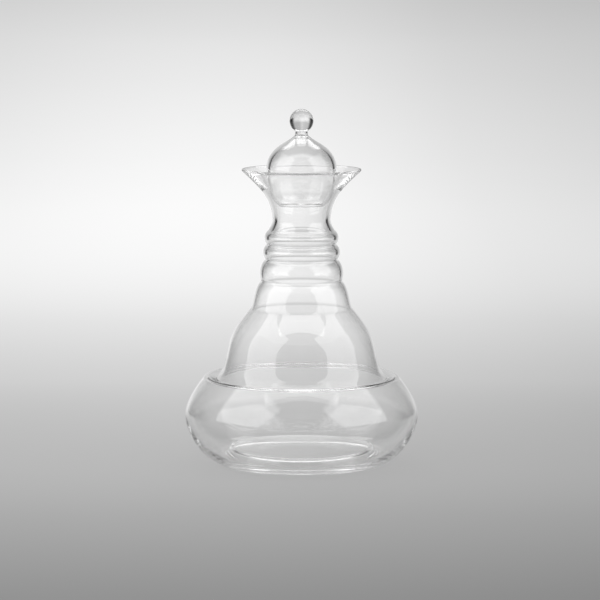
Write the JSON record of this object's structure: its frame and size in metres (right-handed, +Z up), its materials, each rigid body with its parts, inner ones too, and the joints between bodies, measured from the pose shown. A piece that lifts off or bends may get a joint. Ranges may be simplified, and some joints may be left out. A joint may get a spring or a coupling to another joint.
{
  "type": "glass carafe",
  "caption": "Clear blown-glass carafe with a low wide belly, a ringed bell-shaped neck, a flared mouth and a hollow lift-off lid with a ball knob.",
  "frame": {"origin": "centre of the standing ring, on the surface that the carafe stands on", "axes": "+Z up along the axis of revolution; X and Y lie in the table's plane and are free to choose"},
  "size_m": [0.164, 0.164, 0.249],
  "materials": {
    "vessel_glass": "clear, fire-polished blown glass",
    "lid_glass": "clear, fire-polished blown glass"
  },
  "bodies": {
    "carafe": {"carafe_body": "vessel_glass"},
    "lid": {"lid_bulb": "lid_glass", "lid_knob": "lid_glass"}
  },
  "joints": [
    {"name": "lid_lift", "type": "slide", "parent": "carafe", "child": "lid", "axis": [0, 0, 1], "range_m": [0, 0.06]}
  ]
}
